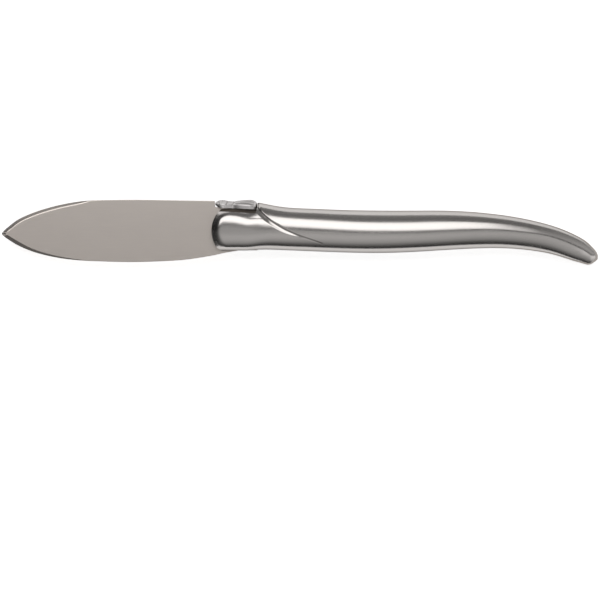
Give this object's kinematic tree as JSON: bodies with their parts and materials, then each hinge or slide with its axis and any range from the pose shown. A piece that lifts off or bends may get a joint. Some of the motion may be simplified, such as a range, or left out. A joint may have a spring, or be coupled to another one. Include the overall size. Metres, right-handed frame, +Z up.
{
  "type": "oyster knife",
  "caption": "Oyster knife with a leaf-shaped steel blade, a full tang between two steel handle halves, and a small bee on the spine.",
  "frame": {"origin": "middle of the knife's outline seen from above, on the surface that it lies on", "axes": "+X from the blade's point to the tail of the handle, +Y from the cutting edge to the spine, +Z up, square to the blade's flat"},
  "size_m": [0.1951, 0.0214, 0.0116],
  "materials": {
    "blade_steel": "satin ground stainless steel plate, even and matt, with bright ground bevels at the point",
    "handle_steel": "stainless steel, ground and then brushed along the handle to a soft gloss",
    "bee_steel": "stainless steel, carved with a file and rubbed to a soft gloss on its high places",
    "pin_steel": "stainless steel pin heads, peened over and brushed flush with the handle"
  },
  "bodies": {
    "root": {"blade": "blade_steel", "bee": "bee_steel", "near_handle_half": "handle_steel", "far_handle_half": "handle_steel", "bolster_pin": "pin_steel", "front_handle_pin": "pin_steel", "middle_handle_pin": "pin_steel", "rear_handle_pin": "pin_steel"}
  },
  "joints": []
}
